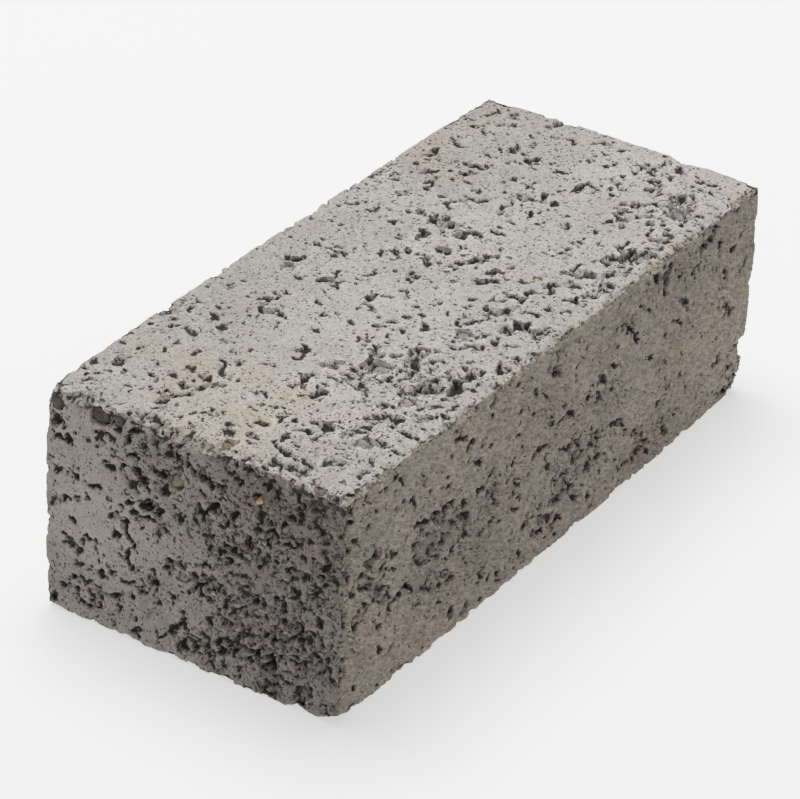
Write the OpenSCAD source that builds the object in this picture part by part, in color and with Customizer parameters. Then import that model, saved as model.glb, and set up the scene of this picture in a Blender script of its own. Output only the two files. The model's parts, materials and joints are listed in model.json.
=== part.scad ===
// Solid pressed concrete brick.
// One block of cement mortar, with the pebbles, chips and grit that show in its faces, each in
// the pocket that it was cast in.
// Origin at the middle of the lower bed face, +X along the length, +Z up.

/* [Brick] */
// Length of the brick
brick_l = 230; // [180:1:290]
// Width of the brick, which is the width of its bed faces
brick_w = 100; // [80:1:130]
// Height of the brick
brick_h = 73; // [60:1:90]
// Radius on every pressed arris
arris_r = 1.5; // [0.5:0.1:2.5]

/* [Stones] */
// Gap between a stone and the mortar that it is cast in
bond_gap = 0.05; // [0.02:0.01:0.15]
// How far a stone that lies flush stays under its face
flush = 0.3; // [0.2:0.1:0.8]
// Radius of the crevice around a stone at its face, as a share of the stone's size
crevice = 0.45; // [0.35:0.01:0.5]
// Size of the brown pebble in the near top arris
edge_pebble_d = 6.5; // [4:0.1:7]
// Size of the grey stone beside that pebble
edge_stone_d = 4; // [2:0.1:5]
// Mortar left between those two stones
edge_stone_web = 0.5; // [0.3:0.1:2]
// Size of the grit grains in the faces
grit_d = 1.6; // [0.8:0.1:2.4]

/* [Wear] */
// Length of the chip at the near bottom corner, along the brick's length
near_chip_l = 12; // [4:0.5:16]
// Length of that chip along the brick's width
near_chip_w = 9; // [4:0.5:14]
// Height of that chip
near_chip_h = 4; // [2:0.5:8]
// Length of the chip at the far bottom corner, along the brick's length
far_chip_l = 7; // [3:0.5:12]
// Length of that chip along the brick's width
far_chip_w = 6; // [3:0.5:12]
// Height of that chip
far_chip_h = 22; // [8:1:28]
// Least size of the hollows in the faces that have no list of their own
hollow_min = 3; // [2:0.5:4]
// Greatest size of those hollows
hollow_max = 7; // [5:0.5:9]

/* [Hidden] */
half = [brick_l, brick_w, brick_h] / 2;

// The grey stone in the near top arris lies beside the brown pebble, a web of mortar away.
edge_pebble_u = 0.63;
edge_stone_u = edge_pebble_u - ((edge_pebble_d + edge_stone_d) / 2 + edge_stone_web) / half.y;

// Stones that show one by one: name, face, place across and up the face as shares of its half
// sides, size, depth of the stone's outermost point under the face, form, colour.
STONES = [
    ["ochre_chip_top", "top", -0.755, 0.25, 3.2, flush, "chip", "goldenrod"],
    ["brown_stone_top", "top", -0.955, -0.16, 4, flush, "chip", "sienna"],
    ["pale_pebble_top", "top", -0.16, 0.71, 5, flush, "pebble", "gainsboro"],
    ["orange_chip_top", "top", 0.18, -0.52, 2.6, flush, "chip", "sandybrown"],
    ["left_cream_stone", "top", 0.6, -0.54, 4.5, 1.2, "pebble", "wheat"],
    ["right_cream_stone", "top", 0.68, -0.51, 4, 1, "pebble", "wheat"],
    ["far_hollow_stone", "top", 0.745, -0.72, 5, 1.5, "chip", "slategray"],
    ["rim_hollow_stone", "top", 0.28, -0.74, 5, 1.5, "pebble", "slategray"],
    ["middle_grey_stone", "top", -0.02, -0.58, 4, 1, "pebble", "gray"],
    ["near_grey_stone", "top", -0.17, -0.52, 4, 1, "chip", "gray"],
    ["bright_stone", "top", -0.5, -0.13, 4.5, 1.5, "chip", "lightgray"],
    ["large_rough_stone", "top", -0.44, -0.35, 7, 0.8, "chip", "gray"],
    ["small_rough_stone", "top", -0.75, -0.73, 5.5, 0.6, "chip", "gray"],
    ["pink_stone", "top", -0.54, -0.68, 5, flush, "pebble", "rosybrown"],
    ["dark_stone_top", "top", -0.57, -0.86, 4, flush, "chip", "dimgray"],
    ["slot_stone", "top", 0.25, 0.12, 5, 1.5, "pebble", "silver"],
    ["yellow_arris_chip", "top", -0.81, -0.94, 2.4, flush, "chip", "khaki"],
    ["edge_pebble", "near_end", edge_pebble_u, 0.89, edge_pebble_d, flush, "pebble", "saddlebrown"],
    ["edge_stone", "near_end", edge_stone_u, 0.9, edge_stone_d, 0.6, "pebble", "slategray"],
    ["corner_brown_stone", "near_end", 0.93, 0.86, 5, flush, "chip", "sienna"],
    ["orange_chip_end", "near_end", -0.435, 0.705, 3, flush, "chip", "sandybrown"],
    ["tan_grain_end", "near_end", 0.56, 0.205, 1.8, flush, "pebble", "tan"],
    ["olive_pebble_end", "near_end", 0.1, 0.59, 5, flush, "pebble", "darkkhaki"],
    ["tan_stone_end", "near_end", 0.04, -0.235, 4, flush, "chip", "tan"],
    ["pale_stone_end", "near_end", -0.355, 0.165, 3.6, 1, "chip", "lightgray"],
    ["tan_arris_chip", "front", -0.85, 0.88, 2.6, flush, "chip", "tan"],
    ["cream_rim_stone", "front", -0.36, 0.9, 4.4, flush, "pebble", "wheat"],
    ["white_fleck_front", "front", -0.815, 0.315, 2, flush, "chip", "white"],
    ["round_stone_front", "front", -0.875, 0.36, 6, flush, "pebble", "gray"],
    ["yellow_fleck_front", "front", -0.125, -0.5, 2.4, flush, "chip", "khaki"],
    ["orange_fleck_front", "front", -0.155, -0.88, 2, flush, "chip", "sandybrown"],
    ["pale_stone_front", "front", -0.435, -0.87, 4.4, flush, "pebble", "gainsboro"],
    ["dark_stone_front", "front", 0, -0.34, 5, 0.5, "pebble", "dimgray"],
    ["tan_pebble_back", "back", -0.4, 0.3, 5, flush, "pebble", "tan"],
    ["grey_stone_back", "back", 0.5, -0.35, 6, flush, "chip", "gray"],
    ["brown_pebble_far_end", "far_end", -0.3, 0.4, 5, flush, "pebble", "saddlebrown"],
    ["grey_stone_far_end", "far_end", 0.45, -0.3, 4.5, 0.8, "chip", "slategray"],
    ["grey_stone_bed", "bed", -0.5, 0.35, 6, flush, "chip", "gray"],
    ["tan_chip_bed", "bed", 0.45, -0.4, 4, flush, "chip", "tan"]
];

// Grit in each face: name, face, columns and rows of the scatter, seed.
GRIT = [
    ["grit_top", "top", 7, 3, 11],
    ["grit_near_end", "near_end", 3, 2, 12],
    ["grit_front", "front", 7, 2, 13],
    ["grit_back", "back", 7, 2, 14],
    ["grit_far_end", "far_end", 3, 2, 15],
    ["grit_bed", "bed", 7, 3, 16]
];

// Larger hollows of the faces that have a list: place as shares of the half sides, radius at
// the face, depth, which is less than the radius.
HOLLOWS = [
    ["top", [
        [-0.9, -0.4, 5, 3], [-0.76, -0.48, 5, 2.5], [-0.63, -0.12, 4, 2.5], [-0.48, -0.16, 4.5, 3.5],
        [-0.36, -0.44, 5.5, 4], [-0.4, -0.76, 7, 3.5], [-0.59, -0.28, 4, 2.5], [-0.62, -0.72, 3.5, 2.5],
        [-0.27, -0.88, 3.5, 2.5], [-0.06, -0.76, 3.5, 2.5], [0.165, -0.1, 4, 3.5], [0.2, -0.18, 3, 2.5],
        [0.2, 0.3, 3.5, 3], [0.27, 0.2, 4, 3.5], [0.25, 0.04, 3.5, 3], [0.16, 0.1, 3, 2.5],
        [0.105, -0.3, 4, 2], [-0.11, 0.72, 2.5, 2], [-0.165, 0.44, 3, 2.5], [0.435, -0.78, 6.5, 4],
        [0.72, -0.44, 3, 2.5], [0.72, -0.78, 6, 4], [0.68, -0.12, 4, 2.5], [0.755, 0.47, 3.5, 2.5],
        [0.58, 0.82, 3.5, 2], [0.515, 0.72, 3, 2], [0.85, -0.12, 2.5, 2], [0.94, -0.07, 2.5, 2],
        [0.88, -0.36, 3, 2.5], [0.92, -0.54, 3, 2.5], [0.3, -0.7, 5, 3], [0.18, -0.88, 5, 2.5],
        [-0.83, 0.84, 3.5, 2]
    ]],
    ["near_end", [
        [0.36, 0.48, 3.5, 3], [0.32, 0.29, 3, 2.5], [0.38, 0.15, 3, 2.5], [0.5, -0.1, 2, 1.5],
        [0.42, -0.23, 2.5, 2], [0.66, -0.26, 2.5, 2], [-0.08, 0.75, 3, 2.5], [0.14, -0.13, 3, 2.5],
        [-0.06, -0.25, 2.5, 2], [-0.36, 0.26, 3, 2.5], [-0.56, -0.67, 3.5, 3], [-0.64, 0.04, 2.5, 2],
        [-0.53, 0.72, 3, 2.5], [0.12, -0.78, 2.5, 2], [-0.2, -0.53, 3, 2.5], [-0.88, 0.32, 3, 2.5],
        [-0.9, -0.5, 3, 2.5]
    ]],
    ["front", [
        [-0.66, 0.23, 2.5, 2], [-0.54, 0.23, 3, 2.5], [-0.21, -0.2, 2.5, 2], [0.5, 0.81, 3, 2.5],
        [0.7, 0.78, 3, 2.5], [0.33, 0.53, 2.5, 2], [0.57, -0.78, 2.5, 2], [0.07, -0.23, 3, 2.5],
        [-0.07, 0.73, 3, 2], [0.85, 0.01, 2.5, 2], [-0.7, -0.18, 2.5, 2], [-0.35, 0.26, 2.5, 2],
        [-0.5, -0.78, 2.5, 2], [0.17, -0.78, 2, 1.5], [0.52, 0.23, 3, 1.5]
    ]]
];
// Hollows of the other faces, as a scatter: face, columns, rows, seed.
HOLLOW_SCATTERS = [["back", 7, 2, 21], ["far_end", 3, 2, 22], ["bed", 7, 3, 23]];

// Bites out of the arrises: the arris's two outward signs in the order X, Y, Z with 0 along it,
// the place along it as a share of the half side, radius.
BITES = [
    [[-1, 0, 1], -0.6, 2.5], [[-1, 0, 1], -0.26, 3], [[-1, 0, 1], 0, 5], [[-1, 0, 1], 0.2, 4],
    [[-1, 0, 1], 0.36, 2.5], [[0, -1, 1], -0.52, 2.5], [[0, -1, 1], -0.2, 2], [[0, -1, 1], 0.2, 3],
    [[0, -1, 1], 0.4, 3], [[0, -1, 1], 0.62, 2.5], [[0, -1, 1], 0.86, 2], [[-1, -1, 0], -0.45, 2.5],
    [[-1, -1, 0], 0.2, 2], [[-1, -1, 0], 0.6, 2.5], [[0, 1, 1], -0.51, 3], [[0, 1, 1], 0.3, 2],
    [[1, -1, 0], -0.58, 3.5], [[1, 0, 1], 0.4, 2.5], [[0, 1, -1], -0.3, 3], [[1, 1, 0], 0.2, 2]
];

// Share of a scatter cell by which a point may leave the cell's middle.
jitter = 0.3;
// Share of a face's half sides that a scatter covers.
scatter_span = 0.92;
// Extra length that takes a cutting solid past the surface that it cuts.
over = 1;
// Height of a crevice ball's centre over the face, as a share of its stone's size.
crevice_lift = 0.1;
// Radius of a pebble's two flatter sides and half its height, as shares of its size.
pebble_belly = 0.7;
pebble_half_height = 0.42;
// Blocks that a crushed chip is cut from: turn, then sides as shares of its size.
chip_blocks = [[[0, 0, 0], [1, 0.72, 0.62]], [[38, 24, 40], [0.8, 1, 0.7]], [[-28, 52, 15], [0.84, 0.74, 1]]];
// Turn from one stone in the list to the next.
stone_turn = [37, 53, 71];
// Depth of a scattered hollow as a share of its size.
hollow_depth = 0.35;
$fn = 48;

// The point at shares u and v of a face's half sides, a depth under that face.
function on_face(face, u, v, depth) =
    face == "top" ? [u * half.x, v * half.y, brick_h - depth]
    : face == "bed" ? [u * half.x, v * half.y, depth]
    : face == "near_end" ? [depth - half.x, u * half.y, (1 + v) * half.z]
    : face == "far_end" ? [half.x - depth, u * half.y, (1 + v) * half.z]
    : face == "front" ? [u * half.x, depth - half.y, (1 + v) * half.z]
    : [u * half.x, half.y - depth, (1 + v) * half.z];

// Places of a scatter: one point in each cell of a grid over the face, moved off its middle.
function scatter(columns, rows, seed) =
    let (du = rands(-jitter, jitter, columns * rows, seed),
         dv = rands(-jitter, jitter, columns * rows, seed + 100))
    [for (i = [0 : columns - 1], j = [0 : rows - 1])
        [((i + 0.5 + du[i * rows + j]) / columns * 2 - 1) * scatter_span,
         ((j + 0.5 + dv[i * rows + j]) / rows * 2 - 1) * scatter_span]];

function stone_centre(s) = on_face(s[1], s[2], s[3], s[5] + s[4] / 2);

// Ball that cuts a face. At the near end it is turned end for end.
module face_ball(face, u, v, depth, r) {
    translate(on_face(face, u, v, depth)) rotate([0, 0, face == "near_end" ? 180 : 0]) sphere(r = r);
}

// A scatter's hollows, in the form of the lists' hollows.
function scattered_hollows(s) =
    let (places = scatter(s[1], s[2], s[3]), sizes = rands(hollow_min, hollow_max, len(places), s[3] + 200))
    [for (i = [0 : len(places) - 1]) [places[i][0], places[i][1], sizes[i] / 2, sizes[i] * hollow_depth]];

// Radius of the ball that cuts a hollow, and its centre's depth under the face.
function hollow_ball_r(h) = (h[2] * h[2] + h[3] * h[3]) / (2 * h[3]);
function hollow_ball_depth(h) = h[3] - hollow_ball_r(h);

function hollows_in(face) = concat(
    [for (f = HOLLOWS) if (f[0] == face) each f[1]],
    [for (s = HOLLOW_SCATTERS) if (s[0] == face) each scattered_hollows(s)]);

// Where the grains of a face's grit lie: the scatter's places that are clear of every stone, and
// that don't lie in a hollow, where no mortar would hold the grain.
grit_depth = flush + grit_d / 2;
grit_clearance = 1.5 * grit_d;
function grit_places(g) =
    let (holes = hollows_in(g[1]))
    [for (q = scatter(g[2], g[3], g[4]))
        let (grain = on_face(g[1], q[0], q[1], grit_depth))
        if (min([for (s = STONES) norm(grain - stone_centre(s)) - s[4] / 2]) > grit_clearance
            && min([for (h = holes)
                norm(grain - on_face(g[1], h[0], h[1], hollow_ball_depth(h))) - hollow_ball_r(h)]) > 0) q];

// Water-worn pebble: a ball flattened between two larger balls.
module pebble(size) {
    belly_r = pebble_belly * size;
    rise = belly_r - pebble_half_height * size;
    intersection() {
        sphere(d = size);
        translate([0, 0, rise]) sphere(r = belly_r);
        translate([0, 0, -rise]) sphere(r = belly_r);
    }
}

// Crushed chip: the space that a ball and three blocks turned against each other share.
module chip(size) {
    intersection() {
        sphere(d = size);
        intersection_for (b = chip_blocks) rotate(b[0]) cube(size * b[1], center = true);
    }
}

// A stone's form, at a size that may include its gap, turned by its place in the list.
module stone_form(form, size, index) {
    rotate(index * stone_turn) {
        if (form == "pebble") pebble(size);
        if (form == "chip") chip(size);
    }
}

module stone(index) {
    s = STONES[index];
    color(s[7]) translate(stone_centre(s)) stone_form(s[6], s[4], index);
}

// Crevice that opens a pocket to its face: the cap of a ball that sits a little over the face.
module crevice_ball(face, u, v, depth, size) {
    face_ball(face, u, v, -crevice_lift * size, depth + (crevice + crevice_lift) * size);
}

// Pocket that a stone was cast in, open to its face.
module stone_pocket(index) {
    s = STONES[index];
    translate(stone_centre(s)) stone_form(s[6], s[4] + 2 * bond_gap, index);
    crevice_ball(s[1], s[2], s[3], s[5], s[4]);
}

// One face's grit, at a grain size that may include the gap.
module grains(g, size) {
    for (q = grit_places(g)) translate(on_face(g[1], q[0], q[1], grit_depth)) sphere(d = size);
}

module grit(g) {
    color("darkgray") grains(g, grit_d);
}

module grit_pockets(g) {
    grains(g, grit_d + 2 * bond_gap);
    for (q = grit_places(g)) crevice_ball(g[1], q[0], q[1], flush, grit_d);
}

// Rectangle with round corners of the arris radius, as a slab of the given thickness.
module round_slab(a, b, thickness) {
    linear_extrude(thickness, center = true) union() {
        square([a - 2 * arris_r, b], center = true);
        square([a, b - 2 * arris_r], center = true);
        for (i = [-1, 1], j = [-1, 1])
            translate([i * (a / 2 - arris_r), j * (b / 2 - arris_r)]) circle(arris_r);
    }
}

// The block as it leaves the press: flat faces and round arrises.
module pressed_block() {
    translate([0, 0, half.z]) intersection() {
        round_slab(brick_l, brick_w, brick_h + over);
        rotate([90, 0, 0]) round_slab(brick_l, brick_h, brick_w + over);
        rotate([90, 0, 90]) round_slab(brick_w, brick_h, brick_l + over);
    }
}

// Hollow with a round mouth: the cap of a ball that sits over the face.
module hollow(face, h) {
    face_ball(face, h[0], h[1], hollow_ball_depth(h), hollow_ball_r(h));
}

// Ball-shaped bite centred on an arris.
module bite(signs, along, r) {
    place = [for (axis = [0 : 2]) (signs[axis] == 0 ? along : signs[axis]) * half[axis]];
    translate(place + [0, 0, half.z]) sphere(r = r);
}

// Flat break across a bottom corner: it meets the three edges at these distances from it.
module corner_chip(sign_x, sign_y, reach) {
    slope = [sign_x / reach.x, sign_y / reach.y, -1 / reach.z];
    normal = slope / norm(slope);
    block = 2 * norm(reach);
    translate([sign_x * half.x, sign_y * half.y, 0])
        rotate([0, acos(normal.z), atan2(normal.y, normal.x)])
            translate([0, 0, block / 2 - 1 / norm(slope)]) cube(block, center = true);
}

// The block with its hollows, its broken arrises and its two chipped corners.
module worn_block() {
    difference() {
        pressed_block();
        for (f = HOLLOWS, h = f[1]) hollow(f[0], h);
        for (s = HOLLOW_SCATTERS, h = scattered_hollows(s)) hollow(s[0], h);
        for (b = BITES) bite(b[0], b[1], b[2]);
        corner_chip(-1, -1, [near_chip_l, near_chip_w, near_chip_h]);
        corner_chip(1, -1, [far_chip_l, far_chip_w, far_chip_h]);
    }
}

module mortar_body() {
    color("darkgray") difference() {
        difference() {
            worn_block();
            for (i = [0 : len(STONES) - 1]) stone_pocket(i);
        }
        for (g = GRIT) grit_pockets(g);
    }
}

mortar_body();
for (i = [0 : len(STONES) - 1]) stone(i);
for (g = GRIT) grit(g);
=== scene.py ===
"""Solid pressed concrete brick: a block of porous mortar with stones and grit set in its faces."""

import json
import math

import bpy
import numpy as np
from mathutils import Matrix, Vector


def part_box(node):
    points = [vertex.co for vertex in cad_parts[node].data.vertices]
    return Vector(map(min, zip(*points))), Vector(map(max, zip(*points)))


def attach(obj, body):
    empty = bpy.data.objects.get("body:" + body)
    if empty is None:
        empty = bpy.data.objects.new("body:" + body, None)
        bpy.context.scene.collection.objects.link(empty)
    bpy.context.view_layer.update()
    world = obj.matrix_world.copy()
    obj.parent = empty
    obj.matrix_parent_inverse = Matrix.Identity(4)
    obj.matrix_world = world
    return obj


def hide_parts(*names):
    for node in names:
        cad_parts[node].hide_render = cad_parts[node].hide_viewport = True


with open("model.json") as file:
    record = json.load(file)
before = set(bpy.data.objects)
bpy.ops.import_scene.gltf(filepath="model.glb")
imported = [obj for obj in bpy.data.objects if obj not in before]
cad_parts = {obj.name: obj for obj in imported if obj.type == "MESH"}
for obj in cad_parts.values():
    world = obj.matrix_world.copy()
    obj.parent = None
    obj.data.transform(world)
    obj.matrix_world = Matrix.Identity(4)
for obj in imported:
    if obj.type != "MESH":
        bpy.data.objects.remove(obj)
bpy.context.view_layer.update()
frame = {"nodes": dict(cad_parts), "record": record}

MM = 0.001
low, high = (np.array(corner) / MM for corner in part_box("mortar_body"))
middle, half = (low + high) / 2, (high - low) / 2

# Mortar lattice: distance between vertices in mm, and how many triangles the finished body keeps.
spacing = 0.5
body_triangles = 196000

# Faces of the brick: the two axes along the face, the axis through it, its outward sign.
FACES = {
    "top": (0, 1, 2, 1),
    "bed": (0, 1, 2, -1),
    "near_end": (1, 2, 0, -1),
    "far_end": (1, 2, 0, 1),
    "front": (0, 2, 1, -1),
    "back": (0, 2, 1, 1),
}

# ---- Where the brick is hollow, bitten, broken, crumbly and stained ----
# Hollows that are placed one by one. Each is its place in mm from the middle of its face, its
# long and short radius, the turn of the long one in degrees, and its depth.
HOLLOWS = {
    "top": [
        (-68, -5, 5.5, 1.5, 0, 2.5), (-57, -6, 4.5, 1.6, -50, 2.6), (-73, -12, 4, 1.6, -35, 2.2),
        (-62, -13, 4, 1.5, -30, 1.6), (-57, -16, 3, 1, 10, 1.4), (-51, -16, 4.5, 3.4, 0, 2),
        (-46, -13, 3.5, 1.6, 30, 2.8), (-40, -22, 6, 1.8, 5, 3), (-44, -25, 4, 1.7, 60, 2.4),
        (-38, -28, 4, 1.2, -60, 2), (-50, -35, 3.5, 1.6, 20, 2.2), (-46, -40, 6, 2.2, 5, 3.2),
        (-40, -41, 5, 1.8, 0, 2.6), (-36, -38, 2.6, 1.5, 0, 2.6), (-52, -31, 3, 1.3, -20, 2),
        (-103, -21, 3.6, 1.8, 85, 2.4), (-107, -28, 4, 2, -30, 2.2), (-87, -24, 5, 1.8, -8, 2.2),
        (-92, -22, 2.5, 1.2, 90, 2.4), (-87, -20, 2.5, 1.1, 90, 2), (-84, -41, 4, 1.3, 80, 2),
        (-82, -33, 3, 1.5, 60, 2), (-76, -43, 5, 1.3, 80, 2.2), (-71, -35, 4.6, 1.5, 85, 2.2),
        (-66, -42, 2.2, 1.8, 0, 2), (-58, -42, 3, 1.3, -20, 2), (-69, -25, 3, 1.5, 45, 1.6),
        (-95, -10, 1.3, 2.2, 0, 1.8), (-102, -11, 3, 1.5, 80, 1.8), (-88, -11, 1.2, 3, 0, 1.8),
        (-112, -8, 4, 2, 60, 1.8), (-84, 1, 1.3, 2.5, 10, 1.6), (-104, 18, 5, 1.2, 20, 1.8),
        (-98, 17, 4, 1.5, -40, 2), (-93, 19, 3, 1, 20, 1.6), (-89, 15, 3, 1.1, -45, 1.8),
        (-85, 18, 3, 1.1, 50, 1.8), (-80, 15, 3, 1.1, 30, 1.8), (-76, 18, 2.5, 1, 60, 1.6),
        (-111, 15, 3, 0.9, 30, 1.6), (-100, 22, 2, 1.5, 0, 1.8), (-92, 42, 4, 1.5, 20, 2),
        (-100, 42, 1.8, 1.2, 0, 2), (-97, 33, 1, 1.8, 0, 1.6), (-111, 36, 2.5, 1.2, -45, 1.8),
        (-84, 23, 1.8, 1.4, 0, 1.8), (-57, 5, 2.2, 2, 0, 2.4), (-59, 31, 3.5, 1.2, 10, 1.8),
        (-55, 35, 2.5, 1.2, 60, 1.8), (-44, 28, 2, 1.2, 50, 1.8), (-39, 29, 1.4, 1.9, 0, 2),
        (-38, 41, 1.6, 1.1, 0, 1.6), (-39, 23, 1.2, 2, 0, 1.8), (-13, 36, 3.6, 1.5, 80, 2.6),
        (-18, 22, 3.6, 1.5, -30, 2.6), (-14, 22, 2.6, 1, 25, 2), (-12, 14, 3, 1.2, -60, 2),
        (-7, 14, 2, 1.4, -20, 2), (-1, 29, 3.4, 1, -80, 1.8), (-3, 25, 2, 1, 60, 1.8),
        (-19, 7, 1.9, 1.6, 0, 2.2), (-23, 5, 3, 1.3, 30, 1.8), (-17, 3, 2, 1, -50, 1.8),
        (-31, -5, 1.9, 1.5, 0, 2), (-27, -6, 1.2, 1.9, 0, 2), (-22, -7, 1, 1.8, 0, 1.8),
        (-40, -6, 2, 1.5, 0, 1.8), (-23, -15, 3.6, 1.2, 25, 2.2), (-11, -12, 1.6, 1.2, 0, 2),
        (-12, -1, 3, 1, 40, 1.8), (-9, 2, 2, 1, 0, 1.8), (-1, 4, 0.9, 2, 0, 1.8), (6, 19, 2, 1.3, 0, 2),
        (23, 15, 3.6, 1.9, -25, 3), (33, 17, 3.4, 1.8, 75, 3), (30, 12, 3.6, 2.6, 0, 3.4),
        (32, 5, 6.5, 1.5, 85, 3), (26, 9, 3, 1, 85, 2), (19, 5, 3.5, 2.1, 80, 3), (16, 6, 2.5, 1, 20, 2),
        (10, 6, 4, 1.3, 25, 2), (10, 12, 2.4, 1.2, 50, 2), (13, -2, 4, 2, -30, 3),
        (22, -8, 4.4, 1.9, -50, 3), (18, -5, 3, 1.4, -40, 2.6), (8, -13, 2.6, 1.2, -35, 2.2),
        (13, -16, 3, 1, 0, 2), (17, -14, 3, 1.3, -30, 2.2), (1, -22, 2.2, 1, 30, 2),
        (7, -28, 4, 1.4, -60, 2.5), (-2, -29, 3.5, 1.5, -20, 2.4), (-4, -26, 2.2, 1, -70, 2),
        (17, -31, 3, 0.9, 5, 2), (2, -35, 2, 1, 70, 2), (-7, -37, 4, 2, -30, 3), (-6, -43, 2.8, 2.3, 0, 3),
        (-19, -35, 2, 1.3, 0, 2.2), (-30, -45, 4, 2, -10, 3), (-21, -26, 2.6, 1.4, 0, 2),
        (-11, -27, 1.5, 1.2, 0, 2), (-26, -31, 4.2, 1.1, -65, 2.2), (23, -36, 1, 3, 0, 2.2),
        (29, -32, 2, 2.6, 0, 2.4), (35, -32, 3, 1.2, -20, 2.4), (41, -35, 4, 1.2, -30, 2.4),
        (21, -43, 5, 1.8, -30, 2.6), (28, -45, 4, 1.5, 15, 2.4), (15, -41, 2.5, 1.2, 80, 2.2),
        (51, -41, 6.2, 2.8, -8, 4), (54, -36, 3.6, 1.2, -30, 2.6), (46, -38, 3, 1.5, -60, 3),
        (42, -44, 2.5, 1, 0, 2.2), (60, -45, 2, 1, 0, 2), (64, -25, 3.5, 1.1, -10, 2.2),
        (70, -25, 3, 1.1, -20, 2.2), (64, -29, 2.6, 1.1, 10, 2), (71, -28, 1.2, 2.2, 0, 2.2),
        (71, -34, 2, 1, 0, 2), (75, -31, 3, 1.2, 25, 2.2), (77, -22, 3.6, 1.2, -5, 2.5),
        (81, -27, 4.2, 1.2, -65, 2.6), (84, -38, 6, 4.6, 10, 3), (82, -41, 4, 1.5, 0, 4),
        (93, -35, 4.6, 1, 15, 2.6), (78, -6, 4, 1.8, -15, 3), (98, -6, 2.2, 1.2, -20, 2.4),
        (95, 0, 2.6, 0.9, 0, 2), (66, 0, 1.6, 1.1, 0, 2), (38, -2, 1.1, 1.9, 0, 2),
        (41, -1, 0.9, 1.4, 0, 2), (109, 3, 1.8, 1.4, 20, 2), (108, -3, 1.8, 1.4, 40, 2),
        (88, -13, 4, 1.4, 60, 2.2), (101, -18, 3, 1.4, 60, 2.4), (87, -19, 1.9, 0.9, 0, 2),
        (91, -24, 2.2, 1.5, 20, 2.4), (96, -22, 1, 2, 0, 2.2), (107, -25, 2.2, 1.5, -20, 2.6),
        (107, -30, 1, 2.5, 0, 2.2), (100, -26, 1.6, 1, 0, 2), (109, -19, 3, 0.8, 15, 1.8),
        (80, -16, 1.5, 1, 40, 2), (106, -38, 2, 1.2, -30, 2.2), (87, 24, 3.3, 1.9, 15, 3),
        (79, 28, 3, 1, 70, 2), (70, 27, 4.6, 1.1, -65, 2.2), (63, 27, 3, 1, -60, 2),
        (59, 36, 4, 1.2, -35, 2.2), (69, 41, 4.6, 1.1, 10, 2.2), (63, 32, 1.8, 1.2, 30, 2),
        (47, 19, 4, 1.4, -20, 2.2), (48, 41, 1.8, 1, 30, 1.8), (26, 37, 1, 2.2, 0, 1.8),
        (41, 34, 1.5, 1.1, 0, 1.8), (51, 31, 3, 1, 0, 1.8), (101, 35, 3, 1.3, -70, 2.4),
        (93, 37, 1, 1.6, 20, 1.8), (112, 22, 3, 1.5, -30, 3), (85, 15, 3, 1, -50, 2),
        (57, 17, 1, 1.5, 0, 1.8), (104, 13, 1.3, 1.6, 0, 2), (103, 18, 1.3, 1, 0, 2),
        (94, 20, 1, 1.8, 0, 2), (58, 6, 4.6, 0.9, 15, 1.2), (51, 4, 3, 1.4, 20, 1), (73, -4, 1.3, 1, 0, 2),
        (57, -5, 1.5, 1, 30, 2),
    ],
    "near_end": [
        (47, 26, 2.5, 3, 0, 2.6), (31, 26, 1.6, 0.9, 50, 1.8), (27, 27, 1.6, 0.8, 50, 1.6),
        (22, 29, 1.3, 3.2, 0, 3), (26, 33, 3, 2, 0, 2.6), (20, 24, 2.5, 1, 0, 2), (26, 22, 1.8, 1, 0, 2),
        (24, 20, 2, 1.2, -50, 2), (30, 19, 1, 1.6, 0, 1.8), (28, 17, 2, 1.2, 0, 2),
        (46, 21, 1.8, 1.2, 0, 2), (41, 21, 1.5, 0.9, 0, 1.6), (49, 15, 1.8, 1.8, 0, 1.8),
        (18, 20, 2.6, 2.2, 0, 3), (16, 17, 1.6, 2, 20, 2.6), (41, 11, 1.7, 1.3, 0, 2),
        (33, 10, 3.5, 1.1, -10, 1.8), (20, 15, 3.4, 0.9, 35, 2), (15, 11, 2.6, 2.1, 0, 3.2),
        (11, 10, 2, 2, 0, 2.4), (4, 10, 2, 1.3, 20, 2), (23, 7, 2.2, 1.8, 0, 2.6),
        (17, 6, 4.6, 1.1, 10, 2.6), (9, 6, 1.5, 1.2, 0, 2), (21, 0, 4.6, 1.2, 80, 3),
        (20, -6, 1.2, 2, 0, 3), (21, -9, 3.2, 1.1, 80, 3), (25, -3, 2, 1.8, 0, 2.6),
        (27, 2, 0.9, 0.9, 0, 1.6), (39, -5, 2, 1.5, 0, 2.2), (43, 2, 2, 1.6, 0, 1.8),
        (47, 0, 2.6, 5, 0, 1.4), (36, -10, 0.8, 2.2, 10, 1.8), (34, -8, 1.9, 0.7, 0, 1.8),
        (32, -10, 0.8, 2.2, -10, 1.8), (30, -16, 1, 1.8, 0, 2), (25, -17, 3, 0.8, 10, 2),
        (39, -18, 2.5, 0.8, -25, 2), (43, -12, 2, 0.7, -30, 1.6), (41, -24, 1.6, 1, 0, 2),
        (35, -23, 4, 0.9, 0, 1.6), (26, -23, 3, 0.9, -25, 1.8), (33, -30, 3.6, 1, 0, 1.8),
        (19, -22, 1.5, 1.2, 0, 2), (19, -29, 2, 1, 0, 1.8), (18, -33, 2, 1.4, 0, 2),
        (6, 29, 5, 1.7, 0, 2.2), (-5, 26, 3.6, 1.9, 35, 3.6), (10, 22, 2.6, 1.3, 0, 2.2),
        (-4, 15, 2, 1, 0, 2.2), (-7, 18, 2.2, 2, 0, 2.4), (-14, 18, 4, 1.2, -40, 2.4),
        (-23, 31, 3, 1.5, 50, 2.6), (-34, 31, 1.4, 2.5, 0, 3), (-26, 19, 3, 2, 0, 3),
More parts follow.
